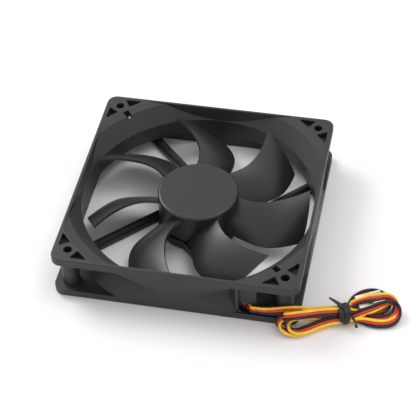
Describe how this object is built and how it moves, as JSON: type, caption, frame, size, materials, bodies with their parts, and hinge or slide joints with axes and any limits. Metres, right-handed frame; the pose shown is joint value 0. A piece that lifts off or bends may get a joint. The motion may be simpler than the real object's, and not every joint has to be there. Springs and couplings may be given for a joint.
{
  "type": "case fan",
  "caption": "Square axial cooling fan with a ribbed open frame, a rotor of curved blades on a sleeve bearing, and a tied three-wire lead with its connector.",
  "frame": {"origin": "rotor axis at the exhaust face, which is the middle of the square frame's lower face", "axes": "+Z along the rotor axis from the exhaust face to the intake face, +X along the side that the lead leaves from"},
  "size_m": [0.1678, 0.128, 0.025],
  "materials": {
    "frame_plastic": "fine moulded texture, dark charcoal",
    "impeller_plastic": "satin moulded, dark charcoal",
    "label": "blank paper sticker, satin",
    "bronze": "sintered, oily",
    "nylon": "natural",
    "bright_steel": "ground",
    "pressed_steel": "pressed, plated",
    "magnet": "bonded ferrite",
    "brass": "turned",
    "laminated_steel": "stacked laminations",
    "former_plastic": "moulded nylon",
    "copper_wire": "enamelled copper",
    "board": "green solder mask",
    "chip": "epoxy package",
    "solder": "tinned",
    "wire_yellow": "pvc insulation",
    "wire_red": "pvc insulation",
    "wire_black": "pvc insulation",
    "tie_plastic": "pvc-coated wire tie",
    "connector_plastic": "natural nylon",
    "terminal": "tin-plated brass"
  },
  "bodies": {
    "housing": {"frame": "frame_plastic", "rear_label": "label", "bearing_sleeve": "bronze", "oil_seal_washer": "nylon", "bearing_plug": "nylon", "thrust_pad": "nylon", "stator_core": "laminated_steel", "insulator_upper": "former_plastic", "insulator_lower": "former_plastic", "coils": "copper_wire", "circuit_board": "board", "winding_pins": "terminal", "hall_sensor": "chip", "driver_chip": "chip", "board_components": "chip", "solder_joints": "solder", "strut_wire_yellow": "wire_yellow", "strut_wire_red": "wire_red", "strut_wire_black": "wire_black", "lead_yellow": "wire_yellow", "lead_red": "wire_red", "lead_black": "wire_black", "lead_hank": "wire_black", "twist_tie": "tie_plastic", "connector_housing": "connector_plastic", "connector_terminals": "terminal"},
    "rotor": {"impeller": "impeller_plastic", "rotor_yoke": "pressed_steel", "rotor_magnet": "magnet", "shaft": "bright_steel", "shaft_boss": "brass", "retaining_clip": "bright_steel"}
  },
  "joints": [
    {"name": "rotor_spin", "type": "hinge", "parent": "housing", "child": "rotor", "pos_m": [0, 0, 0], "axis": [0, 0, 1], "continuous": true}
  ]
}
